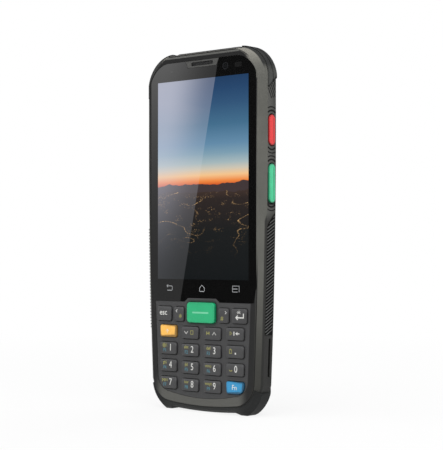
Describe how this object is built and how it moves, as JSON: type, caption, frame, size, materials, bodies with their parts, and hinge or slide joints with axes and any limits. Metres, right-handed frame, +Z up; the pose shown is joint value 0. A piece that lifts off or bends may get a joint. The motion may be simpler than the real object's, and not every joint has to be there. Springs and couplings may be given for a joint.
{
  "type": "portable barcode data terminal",
  "caption": "Handheld data terminal with a tall touch screen, a numeric keypad, side keys, rubber corner bumpers, a scan window on top and a hinged battery cover.",
  "frame": {"origin": "middle of the base, on the surface that the two base feet stand on", "axes": "+X to the right of someone facing the screen, +Y from the screen into the terminal, +Z up towards the scan window"},
  "size_m": [0.0692, 0.0174, 0.1557],
  "materials": {
    "case_grey": "fine matt moulded texture",
    "case_dark": "fine matt moulded texture",
    "panel_grey": "matt",
    "cover_glass": "polished, black printed border",
    "display": "lit display",
    "black_plastic": "satin",
    "flex_amber": "polyimide film",
    "silicone": "translucent silicone",
    "board_green": "solder mask",
    "magnesium": "die-cast magnesium",
    "tinned_steel": "tinned sheet",
    "window_red": "dark red filter window",
    "led_white": "phosphor lens",
    "window_black": "polished",
    "battery_black": "wrapped pack",
    "gold_contact": "gold plated",
    "screw_steel": "dark zinc",
    "key_grey": "satin",
    "key_red": "satin",
    "key_green": "satin",
    "key_orange": "satin",
    "key_blue": "satin",
    "rubber_black": "matt thermoplastic rubber"
  },
  "bodies": {
    "case": {"front_housing": "case_grey", "rear_housing": "case_dark", "display_glass": "cover_glass", "lcd_module": "display", "earpiece_grille": "case_dark", "earpiece_speaker": "black_plastic", "front_camera": "black_plastic", "sensor_board": "flex_amber", "keypad_frame": "panel_grey", "keypad_membrane": "silicone", "keypad_board": "board_green", "inner_chassis": "magnesium", "main_board": "board_green", "shield_cans": "tinned_steel", "scan_engine": "black_plastic", "scan_bezel": "case_dark", "scan_window": "window_red", "rear_camera": "black_plastic", "flash_led": "led_white", "camera_window": "window_black", "loudspeaker": "black_plastic", "vibration_motor": "tinned_steel", "battery_pack": "battery_black", "battery_contacts": "gold_contact", "case_screws": "screw_steel", "usb_board": "board_green", "usb_connector": "tinned_steel", "side_switches": "flex_amber", "top_right_bumper": "rubber_black", "top_left_bumper": "rubber_black", "base_bumper": "rubber_black", "right_grip": "rubber_black", "left_grip": "rubber_black"},
    "battery_cover": {"battery_cover": "case_dark"},
    "key_7": {"key_7": "key_grey"},
    "key_8": {"key_8": "key_grey"},
    "key_9": {"key_9": "key_grey"},
    "function_key": {"function_key": "key_blue"},
    "key_4": {"key_4": "key_grey"},
    "key_5": {"key_5": "key_grey"},
    "key_6": {"key_6": "key_grey"},
    "key_0": {"key_0": "key_grey"},
    "key_1": {"key_1": "key_grey"},
    "key_2": {"key_2": "key_grey"},
    "key_3": {"key_3": "key_grey"},
    "point_key": {"point_key": "key_grey"},
    "orange_key": {"orange_key": "key_orange"},
    "down_key": {"down_key": "key_grey"},
    "up_key": {"up_key": "key_grey"},
    "delete_key": {"delete_key": "key_grey"},
    "escape_key": {"escape_key": "key_grey"},
    "left_key": {"left_key": "key_grey"},
    "scan_key": {"scan_key": "key_green"},
    "right_key": {"right_key": "key_grey"},
    "enter_key": {"enter_key": "key_grey"},
    "red_side_key": {"red_side_key": "key_red"},
    "green_side_key": {"green_side_key": "key_green"},
    "left_scan_key": {"left_scan_key": "key_green"},
    "volume_key": {"volume_key": "panel_grey"}
  },
  "joints": [
    {"name": "key_7_press", "type": "slide", "parent": "case", "child": "key_7", "axis": [0, 1, 0], "range_m": [0, 0.0004], "stiffness_N_per_m": 800, "springref_m": -0.002},
    {"name": "key_8_press", "type": "slide", "parent": "case", "child": "key_8", "axis": [0, 1, 0], "range_m": [0, 0.0004], "stiffness_N_per_m": 800, "springref_m": -0.002},
    {"name": "key_9_press", "type": "slide", "parent": "case", "child": "key_9", "axis": [0, 1, 0], "range_m": [0, 0.0004], "stiffness_N_per_m": 800, "springref_m": -0.002},
    {"name": "function_key_press", "type": "slide", "parent": "case", "child": "function_key", "axis": [0, 1, 0], "range_m": [0, 0.0004], "stiffness_N_per_m": 800, "springref_m": -0.002},
    {"name": "key_4_press", "type": "slide", "parent": "case", "child": "key_4", "axis": [0, 1, 0], "range_m": [0, 0.0004], "stiffness_N_per_m": 800, "springref_m": -0.002},
    {"name": "key_5_press", "type": "slide", "parent": "case", "child": "key_5", "axis": [0, 1, 0], "range_m": [0, 0.0004], "stiffness_N_per_m": 800, "springref_m": -0.002},
    {"name": "key_6_press", "type": "slide", "parent": "case", "child": "key_6", "axis": [0, 1, 0], "range_m": [0, 0.0004], "stiffness_N_per_m": 800, "springref_m": -0.002},
    {"name": "key_0_press", "type": "slide", "parent": "case", "child": "key_0", "axis": [0, 1, 0], "range_m": [0, 0.0004], "stiffness_N_per_m": 800, "springref_m": -0.002},
    {"name": "key_1_press", "type": "slide", "parent": "case", "child": "key_1", "axis": [0, 1, 0], "range_m": [0, 0.0004], "stiffness_N_per_m": 800, "springref_m": -0.002},
    {"name": "key_2_press", "type": "slide", "parent": "case", "child": "key_2", "axis": [0, 1, 0], "range_m": [0, 0.0004], "stiffness_N_per_m": 800, "springref_m": -0.002},
    {"name": "key_3_press", "type": "slide", "parent": "case", "child": "key_3", "axis": [0, 1, 0], "range_m": [0, 0.0004], "stiffness_N_per_m": 800, "springref_m": -0.002},
    {"name": "point_key_press", "type": "slide", "parent": "case", "child": "point_key", "axis": [0, 1, 0], "range_m": [0, 0.0004], "stiffness_N_per_m": 800, "springref_m": -0.002},
    {"name": "orange_key_press", "type": "slide", "parent": "case", "child": "orange_key", "axis": [0, 1, 0], "range_m": [0, 0.0004], "stiffness_N_per_m": 800, "springref_m": -0.002},
    {"name": "down_key_press", "type": "slide", "parent": "case", "child": "down_key", "axis": [0, 1, 0], "range_m": [0, 0.0004], "stiffness_N_per_m": 800, "springref_m": -0.002},
    {"name": "up_key_press", "type": "slide", "parent": "case", "child": "up_key", "axis": [0, 1, 0], "range_m": [0, 0.0004], "stiffness_N_per_m": 800, "springref_m": -0.002},
    {"name": "delete_key_press", "type": "slide", "parent": "case", "child": "delete_key", "axis": [0, 1, 0], "range_m": [0, 0.0004], "stiffness_N_per_m": 800, "springref_m": -0.002},
    {"name": "escape_key_press", "type": "slide", "parent": "case", "child": "escape_key", "axis": [0, 1, 0], "range_m": [0, 0.0004], "stiffness_N_per_m": 800, "springref_m": -0.002},
    {"name": "left_key_press", "type": "slide", "parent": "case", "child": "left_key", "axis": [0, 1, 0], "range_m": [0, 0.0004], "stiffness_N_per_m": 800, "springref_m": -0.002},
    {"name": "scan_key_press", "type": "slide", "parent": "case", "child": "scan_key", "axis": [0, 1, 0], "range_m": [0, 0.0004], "stiffness_N_per_m": 800, "springref_m": -0.002},
    {"name": "right_key_press", "type": "slide", "parent": "case", "child": "right_key", "axis": [0, 1, 0], "range_m": [0, 0.0004], "stiffness_N_per_m": 800, "springref_m": -0.002},
    {"name": "enter_key_press", "type": "slide", "parent": "case", "child": "enter_key", "axis": [0, 1, 0], "range_m": [0, 0.0004], "stiffness_N_per_m": 800, "springref_m": -0.002},
    {"name": "red_side_key_press", "type": "slide", "parent": "case", "child": "red_side_key", "axis": [-1, 0, 0], "range_m": [0, 0.0004], "stiffness_N_per_m": 800, "springref_m": -0.002},
    {"name": "green_side_key_press", "type": "slide", "parent": "case", "child": "green_side_key", "axis": [-1, 0, 0], "range_m": [0, 0.0004], "stiffness_N_per_m": 800, "springref_m": -0.002},
    {"name": "left_scan_key_press", "type": "slide", "parent": "case", "child": "left_scan_key", "axis": [1, 0, 0], "range_m": [0, 0.0004], "stiffness_N_per_m": 800, "springref_m": -0.002},
    {"name": "volume_key_rock", "type": "hinge", "parent": "case", "child": "volume_key", "pos_m": [-0.0314, -0.00225, 0.1194], "axis": [0, 1, 0], "range_deg": [-1.8, 1.8], "stiffness_Nm_per_rad": 0.05},
    {"name": "battery_cover_hinge", "type": "hinge", "parent": "case", "child": "battery_cover", "pos_m": [0, 0.00865, 0.112], "axis": [1, 0, 0], "range_deg": [0, 30]}
  ]
}
